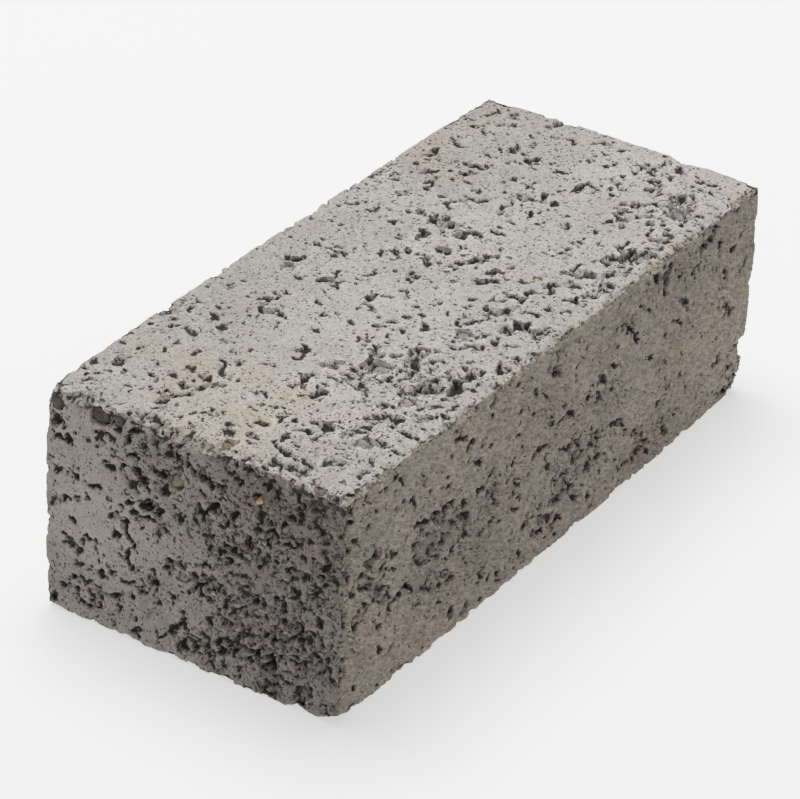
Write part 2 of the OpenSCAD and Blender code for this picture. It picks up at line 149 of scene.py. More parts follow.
        (-18, 10, 1.1, 4.6, 10, 3.2), (-11, 5, 3.6, 1, 0, 2.6), (6, -6, 2.7, 2.6, 0, 2.4),
        (-2, -8, 1.5, 3.4, -15, 3.2), (-6, -11, 3, 1, 0, 2.6), (-12, -9, 1.2, 3, 0, 2.4),
        (12, -15, 1.2, 2, 0, 2.2), (2, -23, 1.5, 3.6, -30, 2.6), (6, -27, 4.6, 0.9, -50, 2.2),
        (2, -31, 1.8, 1.6, 0, 2), (-28, -24, 1.8, 5.8, -4, 5), (-31, -21, 1.4, 2.4, 0, 3),
        (-22, -23, 1.2, 3, 30, 2.2), (-12, -27, 2.2, 2, 0, 2.2), (-31, -5, 0.9, 4.4, 8, 3),
        (-46, -20, 1, 3.6, 0, 2.4), (-38, -21, 1.3, 3, 0, 2.2), (-43, 12, 4, 0.9, -35, 2.2),
        (-24, 13, 2.6, 1, 0, 2.2),
    ],
    "front": [
        (-113, 32, 1.5, 4, 0, 2.2), (-100, 11, 4.2, 1.1, -12, 2.6), (-103, 12, 1, 2, 0, 2),
        (-83, 20, 2.6, 1, 0, 2), (-75, 9, 2.6, 1.8, 0, 3.6), (-63, 9, 2.7, 1.8, -20, 3.2),
        (-52, 25, 1.2, 1.9, 0, 2.6), (-59, 28, 3, 1.2, 0, 1.8), (-49, 16, 3, 1, -35, 2.2),
        (-45, 6, 2.6, 1, 0, 2), (-40, 8, 3, 1, 20, 2), (-24, -7, 2, 2.3, -20, 4),
        (-26, -2, 3.6, 1, -50, 2.6), (-81, -9, 4, 1, -50, 2.6), (-88, -9, 3, 1.2, 0, 2.2),
        (-52, -1, 1, 4, 0, 2.2), (-6, 31, 2, 1.5, -60, 2.4), (-7, 25, 3, 1.5, 0, 2),
        (57, 28, 2.1, 3.4, 0, 3.6), (79, 29, 1.8, 3, 0, 3.2), (75, 24, 3, 1, 0, 2),
        (51, 32, 3, 1.2, 0, 2.2), (38, 19, 5.6, 1.2, -50, 3), (30, 12, 3, 0.9, -15, 2), (2, 7, 5, 1, -5, 2),
        (14, 8, 1.4, 1.8, 0, 2.4), (21, 5, 2, 0.9, -20, 2), (9, -9, 2, 3.6, -25, 3),
        (3, -4, 3, 1.2, -30, 2.4), (0, -13, 3, 2.7, 0, 1.8), (21, -8, 2.5, 1, 0, 2),
        (98, 2, 3.6, 2, -60, 2.4), (101, 21, 2.5, 1, 10, 1.8), (97, -18, 2.5, 1.2, 10, 2.6),
        (65, -27, 3.4, 1.2, -40, 4), (45, -27, 1, 5, 0, 2), (46, -20, 3, 1.5, 0, 1.8),
        (0, -28, 2.2, 1.8, 0, 2.6), (19, -28, 2.2, 1, -20, 2.6), (-57, -29, 2, 1, 0, 2),
        (-18, -19, 2.5, 1.3, 30, 2), (-31, -32, 3, 1, -20, 2), (-96, -13, 2, 1, 0, 2),
        (-108, -6, 1.4, 2.6, 0, 2),
    ],
}

# How much smaller than listed the hollows of each face are cut, because their rims wear wider.
SHRINK = {"top": 0.94, "near_end": 0.86, "front": 1.0}

# Scattered pits of each face: how many per square mm, the smallest and the largest radius, the
# usual turn of the long one in degrees, and how far the turns spread.
SCATTER = {
    "top": (0.125, 0.42, 1.4, 60, 32), "bed": (0.08, 0.45, 1.5, 40, 60),
    "near_end": (0.08, 0.42, 1.3, 0, 60), "far_end": (0.09, 0.45, 1.4, 0, 60),
    "front": (0.065, 0.45, 1.3, -25, 25), "back": (0.05, 0.45, 1.3, 25, 25),
}

# Bites out of the arrises and corners: place in shares of the half sides, the three radii, depth.
BITES = [
    (-1, 0.05, 1, 3, 8, 3, 2), (-1, -0.34, 1, 2.4, 5, 2.6, 1.8), (-1, 0.32, 1, 2.4, 4, 3, 2),
    (-1, -0.75, 1, 2, 4, 2, 1.2), (-1, 0.98, 0.7, 2, 2.4, 4, 0.7), (-0.83, -1, 1, 5, 2, 2, 1.2),
    (-0.52, -1, 1, 7, 2.4, 2.4, 1.8), (-0.2, -1, 1, 5, 2, 2, 1.2), (0.2, -1, 1, 6, 2.4, 2.4, 1.6),
    (0.42, -1, 1, 4, 2.6, 3, 1.8), (0.62, -1, 1, 5, 2, 2.2, 1.4), (0.86, -1, 1, 3, 2, 2, 1.4),
    (-0.52, 1, 1, 5, 3, 3, 2), (-0.3, 1, 1, 3, 2, 2, 1.2), (0.3, 1, 1, 4, 2, 2, 1),
    (0.1, 1, 1, 6, 1.6, 1.6, 0.8), (1, -1, -0.56, 5, 4, 5, 4.4), (1, -1, -1, 9, 9, 7, 5),
    (1, -1, 0.1, 2, 2, 4, 1.4), (1, -1, 0.6, 2, 2, 5, 1.2), (1, 0.4, 1, 2, 4, 2, 1.4),
    (1, -0.5, 1, 2, 5, 2, 1.2), (-1, -1, 0.2, 2, 2, 4, 1.2), (-1, -1, -0.3, 2.4, 2.4, 5, 1.6),
    (-1, -1, 0.65, 2, 2, 3, 1.2), (0.5, 1, -1, 8, 3, 3, 1.8), (-0.3, 1, -1, 5, 3, 3, 2),
    (1, 1, 0.2, 2.4, 2.4, 4, 1.8), (1, 1, -0.5, 3, 3, 6, 2), (-1, 1, -0.2, 2, 2, 5, 1.4),
    (1, 0.2, -1, 3, 8, 3, 2), (-0.7, -1, -1, 6, 2, 2.4, 1.2), (-0.35, -1, -1, 9, 2, 2, 1),
    (0.1, -1, -1, 5, 2.4, 2, 1.3), (0.35, -1, -1, 7, 2, 2.4, 1.2), (0.66, -1, -1, 5, 2, 2, 1.2),
    (-1, 0.5, -1, 2, 6, 2, 1),
]

# Corners broken off flat: the signs of the corner, and how far along each edge the break runs.
BREAKS = [
    ((-1, -1, -1), (12, 9, 4)), ((1, -1, -1), (6, 5, 9)), ((1, 1, -1), (4, 5, 3)), ((-1, -1, 1), (2, 2, 2)),
]

# Crumbly patches: face, middle in mm from the face's middle, the two radii, how crumbly.
CRUMBLY = [
    ("top", -47, -33, 16, 13, 0.9), ("top", -62, -12, 14, 8, 0.45), ("top", -100, -28, 15, 20, 0.5),
    ("top", -78, -36, 16, 12, 0.5), ("top", 30, -43, 45, 6, 0.45), ("top", 84, -37, 13, 10, 0.7),
    ("top", -110, 2, 7, 22, 0.4), ("near_end", -30, -4, 42, 60, 1), ("near_end", 12, 24, 14, 14, 0.7),
    ("near_end", 10, -16, 14, 18, 0.5), ("near_end", 30, -26, 20, 9, 0.35), ("front", -62, -8, 32, 22, 0.8),
    ("front", -105, 0, 14, 40, 0.5), ("front", 8, -6, 24, 18, 0.45), ("front", 60, 27, 34, 8, 0.4),
    ("front", 50, -24, 20, 12, 0.35), ("back", -40, 5, 50, 24, 0.6), ("back", 70, -10, 26, 20, 0.5),
    ("far_end", 15, -6, 26, 26, 0.7), ("bed", 20, 10, 60, 26, 0.45), ("bed", -80, -20, 24, 18, 0.6),
]

# Stains on the cement: face, middle, radii, strength of warm stain.
STAINS = [
    ("top", -92, 8, 26, 40, 0.9), ("top", -60, 34, 30, 14, 0.5), ("top", 92, 44, 34, 9, 0.7),
    ("top", 66, 30, 12, 14, 0.7), ("top", 105, 14, 9, 8, 0.6), ("top", -70, 16, 9, 8, 0.8),
    ("top", -50, -1, 6, 4, 0.6), ("near_end", -30, 20, 30, 20, 0.7), ("back", 0, 10, 60, 16, 0.6),
    ("bed", 50, 0, 40, 30, 0.5),
]


# ---- Random fields ----
# The fields' cells are turned out of line with the brick's faces, so that no rows of them show.
FIELD_TURN = np.array(
    Matrix.Rotation(0.6, 3, "X") @ Matrix.Rotation(0.9, 3, "Y") @ Matrix.Rotation(0.4, 3, "Z")
)
FIELD_CELLS = 32


def field(points, size, seed):
    """Smooth random value from -1 to 1 at each point: random numbers at the corners of cubes of
    the given size, blended across each cube by the curve 3t^2 - 2t^3 along every axis."""
    corners = np.random.default_rng(seed).uniform(-1, 1, (FIELD_CELLS,) * 3)
    place = points @ FIELD_TURN / size
    cell = np.floor(place).astype(int)
    part = place - cell
    part = part * part * (3 - 2 * part)
    total = np.zeros(len(points))
    for step in np.ndindex(2, 2, 2):
        share = np.prod(np.where(step, part, 1 - part), axis=1)
        total += share * corners[tuple(((cell + step) % FIELD_CELLS).T)]
    return total


def layered(points, size, seed, layers=3):
    """Sum of fields, each half the size and 0.6 of the strength of the one before."""
    return sum(0.6**i * field(points, size / 2**i, seed + i) for i in range(layers))


def lumps(points, size, seed):
    """Distances from each point to the nearest and to the second nearest of the lump centres,
    one placed at random in each cube of the given size, in shares of that size."""
    centres = np.random.default_rng(seed).uniform(0, 1, (FIELD_CELLS, FIELD_CELLS, FIELD_CELLS, 3))
    place = points @ FIELD_TURN / size
    cell = np.floor(place).astype(int)
    first = np.full(len(points), np.inf)
    second = first.copy()
    for step in np.ndindex(3, 3, 3):
        beside = cell + step - 1
        gap = np.linalg.norm(beside + centres[tuple((beside % FIELD_CELLS).T)] - place, axis=1)
        second = np.minimum(second, np.maximum(first, gap))
        first = np.minimum(first, gap)
    return first, second


def ramp(values, start, end):
    """0 below start, 1 above end, and a straight line between."""
    return np.clip((values - start) / (end - start), 0, 1)


# ---- The lattice that the mortar's surface is worked out on ----
count = np.maximum(np.round(2 * half / spacing).astype(int), 8)
# Radius of the pressed arrises in mm.
arris_r = 0.7


def brick_lattice():
    """Points of a box in whole steps along each axis, one for each place however many faces meet
    in it, and for each face the grid of its points' numbers."""
    corners = {}
    for name, (a, b, n, sign) in FACES.items():
        steps = np.zeros((count[a] + 1, count[b] + 1, 3), int)
        steps[..., a] = np.arange(count[a] + 1)[:, None]
        steps[..., b] = np.arange(count[b] + 1)[None, :]
        steps[..., n] = count[n] if sign > 0 else 0
        corners[name] = steps
    flat = np.concatenate([steps.reshape(-1, 3) for steps in corners.values()])
    code = (flat[:, 0] * (count[1] + 1) + flat[:, 1]) * (count[2] + 1) + flat[:, 2]
    _, first, number = np.unique(code, return_index=True, return_inverse=True)
    grids, done = {}, 0
    for name, steps in corners.items():
        size = steps.shape[0] * steps.shape[1]
        grids[name] = number[done:done + size].reshape(steps.shape[:2])
        done += size
    return flat[first], grids


def lattice_quads():
    """The grids' cells as quads that face outwards."""
    quads = []
    for name, (a, b, n, sign) in FACES.items():
        grid = grids[name]
        cells = np.stack([grid[:-1, :-1], grid[1:, :-1], grid[1:, 1:], grid[:-1, 1:]], -1)
        cells = cells.reshape(-1, 4)
        outward = sign if (b - a) % 3 == 1 else -sign
        quads.append(cells if outward > 0 else cells[:, ::-1])
    return np.concatenate(quads)


steps, grids = brick_lattice()
box_place = (steps / count * 2 - 1) * half
core = np.clip(box_place, arris_r - half, half - arris_r)
outward = box_place - core
outward /= np.linalg.norm(outward, axis=1)[:, None]
rest = core + arris_r * outward

# How far each point lies from the nearest arris, in mm.
to_arris = np.sort(half - np.abs(box_place), axis=1)[:, 1]


def around(place, reach):
    """Numbers of the lattice points in a cube of half side reach around a place."""
    found = []
    for name, (a, b, n, sign) in FACES.items():
        if abs(place[n] - sign * half[n]) > reach:
            continue
        window = []
        for axis in (a, b):
            at = (place[axis] / half[axis] + 1) / 2 * count[axis]
            width = reach / (2 * half[axis]) * count[axis]
            window.append(slice(max(0, int(at - width)), max(0, int(at + width) + 2)))
        found.append(grids[name][window[0], window[1]].ravel())
    return np.concatenate(found)


def on_face(face, x, y):
    """The point x and y mm from the middle of a face."""
    a, b, n, sign = FACES[face]
    place = np.zeros(3)
    place[[a, b, n]] = x, y, sign * half[n]
    return place


def patches(table):
    """Greatest of some soft patches at each lattice point: 1 at a patch's middle, fading as a
    bell to nothing at about one and a half radii."""
    total = np.zeros(len(rest))
    for face, x, y, radius_x, radius_y, strength in table:
        a, b, n, _ = FACES[face]
        off = rest - on_face(face, x, y)
        reach = (off[:, a] / radius_x) ** 2 + (off[:, b] / radius_y) ** 2 + (off[:, n] / 6) ** 2
        total = np.maximum(total, strength * np.exp(-reach**1.5))
    return total


# ---- Wear: how deep each point of the mortar lies under the pressed surface ----
draw = np.random.default_rng(7)
# What the steps below share: how ragged an edge is, which way a shape is pushed, where a floor is
# whole, how far a point looks out of a long side, and how crumbly it is.
ragged = layered(rest, 1.9, 20)
shift = np.stack([layered(rest, 3.6, 30 + 4 * i, 3) for i in range(3)], 1)
whole = ramp(layered(rest, 2.4, 46), -0.4, 0.1)
side_on = ramp(np.abs(outward[:, 1]), 0.3, 0.8)
crumbly = np.clip(patches(CRUMBLY) + 0.1 + 0.22 * layered(rest, 22, 40, 2), 0, 1)
sunk = np.zeros(len(rest))
RAGGEDNESS, PUSH, BROKEN_FLOOR = 0.7, 1.4, 0.45
# Shares of the radius over which hollows, pits and bites reach their depth.
HOLLOW_WALL, SMALL_PIT_WALL, BITE_WALL = 0.35, 0.5, 0.8
# Distances from an arris, in mm, at which hollows begin and reach their full depth.
ARRIS_FADE = 0.3, 2.2


def sink(index, off_long, off_short, off_through, depth, wall):
    """Lowers the given points to the depth, inside an ellipse whose edge the ragged field moves in
    and out; the wall is the share of the radius over which the depth is reached. Part of the floor
    is broken, and lies only half as deep."""
    reach = np.sqrt(off_long**2 + off_short**2 + off_through**2) * (1 + RAGGEDNESS * ragged[index])
    floor_depth = depth * (BROKEN_FLOOR + (1 - BROKEN_FLOOR) * whole[index])
    sunk[index] = np.maximum(sunk[index], floor_depth * np.clip((1 - reach) / wall, 0, 1) ** 0.7)


def hollow(face, x, y, long_r, short_r, turn, depth, wall=HOLLOW_WALL):
    """Ragged hollow in a face: an ellipse pushed out of shape by the shift field. It runs out
    before it reaches an arris."""
    a, b, n, _ = FACES[face]
    place = on_face(face, x, y)
    index = around(place, 1.5 * max(long_r, short_r))
    off = rest[index] + PUSH * shift[index] - place
    c, s = math.cos(math.radians(turn)), math.sin(math.radians(turn))
    along, across = off[:, a] * c + off[:, b] * s, off[:, b] * c - off[:, a] * s
    clear = ramp(to_arris[index], *ARRIS_FADE)
    sink(index, along / long_r, across / short_r, off[:, n] / max(long_r, short_r), depth * clear, wall)


def scatter_pits(face, per_area, smallest, largest, turn, spread):
    """Random pits in a face: most are small, and some parts of the face hold more."""
    a, b, _, _ = FACES[face]
    number = int(per_area * 4 * half[a] * half[b])
    places = draw.uniform(-1, 1, (number, 2)) * (half[[a, b]] - 0.6)
    radii = smallest + (largest - smallest) * draw.uniform(0, 1, number) ** 3
    shapes = draw.uniform(0.45, 1, number)
    turns = draw.normal(turn, spread, number)
    depths = radii * draw.uniform(1.0, 1.7, number)
    keep = draw.uniform(0, 1, number)
    centres = np.array([on_face(face, x, y) for x, y in places])
    crowd = 0.5 + 0.5 * layered(centres, 17, 60, 2)
    for i in np.nonzero(keep < crowd)[0]:
        width = radii[i] * shapes[i]
        hollow(face, *places[i], radii[i], width, turns[i], depths[i], SMALL_PIT_WALL)


for face, table in HOLLOWS.items():
    for x, y, long_r, short_r, turn, depth in table:
        shrink = SHRINK[face]
        hollow(face, x, y, shrink * long_r, shrink * short_r, turn, shrink * depth)
# The faces without listed hollows get random ones, one to each 240 square mm.
for face in ("back", "far_end", "bed"):
    a, b, _, _ = FACES[face]
    for _ in range(int(half[a] * half[b] / 60)):
        x, y = draw.uniform(-0.95, 0.95, 2) * half[[a, b]]
        size = draw.uniform(1.4, 4.2)
        width, turn = size * draw.uniform(0.35, 0.8), draw.uniform(0, 180)
        hollow(face, x, y, size, width, turn, depth=draw.uniform(1.8, 3.2))
for face, pits in SCATTER.items():
    scatter_pits(face, *pits)
for u, v, w, *radii, depth in BITES:
    place = np.array((u, v, w)) * half
    index = around(place, 1.5 * max(radii))
    sink(index, *((rest[index] - place) / radii).T, depth, BITE_WALL)

# Crumbly mortar has broken away in ragged flakes, between small rounded lumps with open seams. On
# the long sides both are drawn out along a slope.
slope = math.radians(-28)
drawn = rest.copy()
along = rest[:, 0] * math.cos(slope) + rest[:, 2] * math.sin(slope)
drawn -= (side_on * along * 0.45)[:, None] * (math.cos(slope), 0, math.sin(slope))
warped = drawn + 0.9 * shift
flaked = ramp(layered(drawn, 4.6, 80, 4) - (1.0 - 0.95 * crumbly), 0, 0.2)
flake_depth = flaked * (1.15 + 0.5 * layered(rest, 1.5, 88, 2))
first, second = lumps(warped, 2.7, 90)
seam = np.clip(1 - (second - first) / 0.28, 0, 1) * ramp(layered(rest, 6, 95, 2), -0.3, 0.3)
lump_relief = np.maximum(flake_depth, 0) + ramp(crumbly, 0.35, 0.9) * (0.9 * seam + 0.3 * first**2)

# The arrises have worn away by an uneven amount; the near top one is the worst.
arris_wear = np.exp(-((to_arris / 1.5) ** 2)) * np.maximum(1.2 * layered(rest, 4, 100, 4) - 0.05, 0)
near_top = np.exp(-((rest[:, 0] + half[0]) ** 2 + (rest[:, 2] - half[2]) ** 2) / 14)
arris_wear += near_top * (0.25 + 2.8 * ramp(layered(rest, 5, 105, 4), -0.1, 0.15))
front_top = np.exp(-((rest[:, 1] + half[1]) ** 2 + (rest[:, 2] - half[2]) ** 2) / 4)
arris_wear += front_top * (0.1 + 1.9 * ramp(layered(rest, 4.4, 107, 4), -0.05, 0.2))

# Fine relief of sand grains, coarser where the mortar is crumbly, and the faces' slight waves.
sand = 0.11 * field(rest, 1.3, 110) + 0.07 * field(rest, 0.8, 111)
waves = 0.14 * field(rest, 16, 112) + 0.1 * field(rest, 6, 113)
rough = (0.05 + 0.24 * crumbly) * layered(rest, 2.4, 114) + 0.16 * side_on * layered(warped, 1.7, 118, 2)

# The arrises run in a little towards the corners.
closest = np.sort(np.abs(rest / half), axis=1)[:, 0]
run_in = 1.1 * closest**3 * np.exp(-((to_arris / 14) ** 2))

surface = 0.16 + sand + waves + rough + arris_wear + run_in
surface = np.maximum(surface + lump_relief, 0.02)

# ---- Stones and grit ----
# Every stone's form and colour.
STONES = {
    "ochre_chip_top": ("chip", (0.6, 0.42, 0.2)),
    "brown_stone_top": ("chip", (0.3, 0.23, 0.15)),
    "pale_pebble_top": ("pebble", (0.56, 0.56, 0.54)),
    "orange_chip_top": ("chip", (0.6, 0.46, 0.33)),
    "left_cream_stone": ("pebble", (0.5, 0.46, 0.39)),
    "right_cream_stone": ("pebble", (0.52, 0.47, 0.38)),
    "far_hollow_stone": ("chip", (0.24, 0.235, 0.225)),
    "rim_hollow_stone": ("pebble", (0.34, 0.33, 0.315)),
    "middle_grey_stone": ("pebble", (0.34, 0.33, 0.31)),
    "near_grey_stone": ("chip", (0.35, 0.34, 0.325)),
    "bright_stone": ("chip", (0.52, 0.51, 0.5)),
    "large_rough_stone": ("chip", (0.33, 0.32, 0.3)),
    "small_rough_stone": ("chip", (0.33, 0.32, 0.305)),
    "pink_stone": ("pebble", (0.46, 0.39, 0.35)),
    "dark_stone_top": ("chip", (0.2, 0.2, 0.19)),
    "slot_stone": ("pebble", (0.44, 0.44, 0.43)),
    "yellow_arris_chip": ("chip", (0.62, 0.54, 0.36)),
    "edge_pebble": ("pebble", (0.1, 0.082, 0.06)),
    "edge_stone": ("pebble", (0.14, 0.135, 0.13)),
    "corner_brown_stone": ("chip", (0.15, 0.12, 0.09)),
    "orange_chip_end": ("chip", (0.85, 0.56, 0.34)),
    "tan_grain_end": ("pebble", (0.42, 0.35, 0.24)),
    "olive_pebble_end": ("pebble", (0.34, 0.32, 0.24)),
    "tan_stone_end": ("chip", (0.42, 0.36, 0.3)),
    "pale_stone_end": ("chip", (0.4, 0.4, 0.38)),
    "tan_arris_chip": ("chip", (0.6, 0.54, 0.42)),
    "cream_rim_stone": ("pebble", (0.56, 0.52, 0.44)),
    "white_fleck_front": ("chip", (0.72, 0.69, 0.64)),
    "round_stone_front": ("pebble", (0.36, 0.34, 0.31)),
    "yellow_fleck_front": ("chip", (0.6, 0.5, 0.36)),
    "orange_fleck_front": ("chip", (0.7, 0.5, 0.34)),
    "pale_stone_front": ("pebble", (0.46, 0.44, 0.4)),
    "dark_stone_front": ("pebble", (0.24, 0.22, 0.2)),
    "tan_pebble_back": ("pebble", (0.42, 0.35, 0.27)),
    "grey_stone_back": ("chip", (0.32, 0.32, 0.31)),
    "brown_pebble_far_end": ("pebble", (0.22, 0.18, 0.13)),
    "grey_stone_far_end": ("chip", (0.3, 0.3, 0.3)),
    "grey_stone_bed": ("chip", (0.32, 0.32, 0.31)),
    "tan_chip_bed": ("chip", (0.44, 0.37, 0.28)),
}

# Share of a stone's thickness that lies above its widest part.
STONE_SHOULDER = 0.34
# How near and how far a stone's cuts lie, in shares of its radius, and how sharply they meet.
CUTS = {"chip": (0.66, 0.95, 16), "pebble": (0.84, 1, 4)}
CUTS_A_STONE = 9


def facets(form, seed):
    """The flat planes that shape a stone: their outward directions and distances from its middle,
    and how sharply they meet."""
    pick = np.random.default_rng(seed)
    directions = pick.normal(size=(CUTS_A_STONE, 3))
    directions /= np.linalg.norm(directions, axis=1)[:, None]
    sides = np.concatenate([np.eye(3), -np.eye(3), directions])
    nearest, furthest, sharpness = CUTS[form]
    distances = np.concatenate([np.ones(6), pick.uniform(nearest, furthest, CUTS_A_STONE)])
    return sides, distances, sharpness


def stone_radius(directions, shape):
    """Distance from a stone's middle to its surface: that of the nearest facet plane along each
    direction, with the planes blended by a power so that their edges are worn round."""
    sides, distances, sharpness = shape
    toward = np.maximum(directions @ sides.T, 0) / distances
    return np.sum(toward**sharpness, axis=1) ** (-1 / sharpness)


def face_of(lowest, highest):
    """The face that a box comes nearest to."""
    gaps = {}
    for name, (_, _, n, sign) in FACES.items():
        gaps[name] = half[n] - (highest[n] if sign > 0 else -lowest[n])
    return min(gaps, key=gaps.get)


class Stone:
    """One stone: the box that holds it, the face it shows in, and its facets."""

    def __init__(self, lowest, highest, face, form, seed):
        self.a, self.b, self.n, self.sign = FACES[face]
        self.reach = (highest - lowest) / 2
        self.shape = facets(form, seed)
        self.centre = (highest + lowest) / 2
        top = highest[self.n] if self.sign > 0 else lowest[self.n]
        self.centre[self.n] = top - self.sign * STONE_SHOULDER * 2 * self.reach[self.n]

    def surface(self, across, up):
        """Closed surface on a grid of longitude and latitude: the facets' radius, stretched to the
        stone's box, with the widest part a third of the way down."""
        angle = np.linspace(0, 2 * math.pi, across, endpoint=False)
        lift = np.linspace(-math.pi / 2, math.pi / 2, up + 1)[1:-1]
        angle, lift = (grid.ravel() for grid in np.meshgrid(angle, lift))
        ring = np.stack([np.cos(angle) * np.cos(lift), np.sin(angle) * np.cos(lift), np.sin(lift)], 1)
        points = np.concatenate([ring, [(0, 0, -1), (0, 0, 1)]])
        points *= stone_radius(points, self.shape)[:, None]
        points *= (1 - 0.2 * np.abs(layered(points, 0.45, 130, 4)))[:, None]
        place = np.tile(self.centre, (len(points), 1))
        place[:, self.a] += points[:, 0] * self.reach[self.a]
        place[:, self.b] += points[:, 1] * self.reach[self.b]
        rise = np.where(points[:, 2] > 0, STONE_SHOULDER, 1 - STONE_SHOULDER) * 2 * self.reach[self.n]
        place[:, self.n] += self.sign * points[:, 2] * rise
        quads, caps = ring_faces(across, up - 1)
        if (self.sign > 0) != ((self.b - self.a) % 3 == 1):
            quads, caps = quads[:, ::-1], caps[:, ::-1]
        return place, quads, caps

    def press(self, crevice):
        """Sinks the mortar under the stone, and in an uneven crevice round it."""
        index = around(self.centre, 1.6 * self.reach.max())
        off = rest[index] - self.centre
        flat = np.stack([off[:, self.a] / self.reach[self.a], off[:, self.b] / self.reach[self.b]], 1)
        away = np.linalg.norm(flat, axis=1)
        toward = np.pad(flat / np.maximum(away, 1e-6)[:, None], ((0, 0), (0, 1)))
        share = away / stone_radius(toward, self.shape)
        share[np.abs(off[:, self.n]) > 2.2 * self.reach[self.n]] = np.inf
        top = half[self.n] - self.sign * self.centre[self.n]
        under = 2 * (1 - STONE_SHOULDER) * self.reach[self.n]
        bowl = top + under * np.sqrt(np.maximum(1 - share**2, 0)) + 0.1
        width = crevice * (0.9 + 0.9 * ragged[index]) / self.reach[self.a]
        rim = (top + 0.2) * np.clip(1 - (share - 1) / np.maximum(width, 1e-3), 0, 1)
        pocket[index] = np.maximum(pocket[index], np.where(share < 1, bowl, np.where(share < 3, rim, 0)))


def ring_faces(across, rings):
    """Quads between the rings of a longitude and latitude grid, and triangles to its two poles,
    whose numbers follow the rings'."""
    i = np.arange(across)
    j = np.arange(rings - 1)[:, None]
    one, two = j * across + i, j * across + (i + 1) % across
    quads = np.stack([one, two, two + across, one + across], -1).reshape(-1, 4)
    bottom = np.stack([(i + 1) % across, i, np.full(across, across * rings)], 1)
    last = across * (rings - 1)
    top = np.stack([last + i, last + (i + 1) % across, np.full(across, across * rings + 1)], 1)
    return quads, np.concatenate([bottom, top])


def grain_boxes(node, size):
    """The boxes of the separate grains of a grit node, found from where its vertices gather."""
    mesh = frame["nodes"][node].data
    points = np.zeros(3 * len(mesh.vertices))
    mesh.vertices.foreach_get("co", points)
    points = points.reshape(-1, 3) / MM - middle
    while len(points):
        near = np.linalg.norm(points - points[0], axis=1) < size
        yield points[near].min(0), points[near].max(0)
        points = points[~near]


# Distance within which vertices belong to one grain, and the crevices' widths, all in mm.
GRIT_SIZE = 2.0
STONE_CREVICE, GRAIN_CREVICE = 0.35, 0.15
pocket = np.zeros(len(rest))
stones = {}
for number, (node, (form, _)) in enumerate(STONES.items()):
    lowest, highest = (np.array(corner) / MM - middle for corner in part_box(node))
    stones[node] = Stone(lowest, highest, face_of(lowest, highest), form, 200 + number)
    stones[node].press(STONE_CREVICE)
grit = {}
for face in FACES:
    node = "grit_" + face
    boxes = enumerate(grain_boxes(node, GRIT_SIZE))
    grit[node] = [Stone(lowest, highest, face, "chip", 300 + i) for i, (lowest, highest) in boxes]
    for grain in grit[node]:
        grain.press(GRAIN_CREVICE)


# ---- The mortar's surface ----
def blurred(values, radius):
    """Mean of the values over a square of the given half side round each point of its face."""
    reach = max(1, round(radius / spacing))
    total, hits = np.zeros(len(values)), np.zeros(len(values))
    for grid in grids.values():
        level = np.pad(values[grid], reach, mode="edge")
        for _ in range(2):
            running = np.cumsum(np.pad(level, ((1, 0), (0, 0))), axis=0)
            level = ((running[2 * reach + 1:] - running[:-2 * reach - 1]) / (2 * reach + 1)).T
        np.add.at(total, grid, level)
        np.add.at(hits, grid, 1)
    return total / hits


depth = surface + sunk * (0.95 + 0.45 * layered(rest, 1.5, 120, 2))
depth = np.maximum(depth, pocket)
place = rest - outward * depth[:, None]
for signs, reach in BREAKS:
    lean = np.array(signs) / reach
    past = 1 - np.abs(np.array(signs) * half - place) @ (1 / np.array(reach, float))
    roughness = ramp(past, 0, 0.15) * (0.4 + 0.5 * layered(rest, 3, 140))
    back = np.maximum(past, 0) / np.linalg.norm(lean) + roughness
    place -= np.maximum(back, 0)[:, None] * lean / np.linalg.norm(lean)
place = np.clip(place, -half, half)

# How deep each point lies in a hollow, and how high on a crest, both from 0 to 1. The first
# marks where hollows are painted dark, partly dirt and partly painted shade; the second where
# crests are painted lighter, a painted highlight.
relief = depth - blurred(depth, 1.8)
cavity = np.clip((relief - 0.08) / 0.75, 0, 1)
crest = np.clip(-relief / 0.8, 0, 1)


def toward(axis, sign):
    """How far each point of the pressed surface looks along an axis, from 0 to 1."""
    return ramp(sign * outward[:, axis], 0.35, 0.75)[:, None]


# Colour of the set cement: cool on top, warmer on the long sides, with warm stains and faint
# clouds of green and pink. The ends and long sides are also darker than the top: painted shade,
# as the light falls from above.
TOP_CEMENT = (0.522, 0.502, 0.477)
END_CEMENT_AND_SHADE = (0.475, 0.431, 0.402)
SIDE_CEMENT_AND_SHADE = (0.425, 0.372, 0.318)
WARM_TINT = (1.0, 0.9, 0.78)
GREEN_TINT = (0.93, 0.965, 0.945)
PINK_TINT = (1.03, 0.95, 0.96)
PALE_CEMENT = (0.55, 0.485, 0.375)
cement = np.tile(SIDE_CEMENT_AND_SHADE, (len(rest), 1))
cement += np.maximum(toward(0, 1), toward(0, -1)) * np.subtract(END_CEMENT_AND_SHADE, SIDE_CEMENT_AND_SHADE)
cement += np.maximum(toward(2, 1), toward(2, -1)) * np.subtract(TOP_CEMENT, SIDE_CEMENT_AND_SHADE)
stain = patches(STAINS) * (0.7 + 0.6 * layered(rest, 9, 150)) + 0.25 * layered(rest, 26, 155)
stain = np.clip(stain, 0, 1)
for tint, cover in (
    (WARM_TINT, 0.8 * stain),
    (GREEN_TINT, 0.45 * ramp(layered(rest, 7, 170), 0.15, 0.6)),
    (PINK_TINT, 0.45 * ramp(layered(rest, 13, 175), 0.1, 0.7)),
):
    cement *= 1 + cover[:, None] * (np.array(tint) - 1)
up = np.maximum(toward(2, 1), toward(2, -1))[:, 0]
# Random tone, raised crests painted lighter as a painted highlight, and crumbly mortar darker except on the
# top.
cement *= (1 + 0.07 * layered(rest, 34, 160, 4) + 0.12 * crest - (0.28 - 0.3 * up) * crumbly)[:, None]
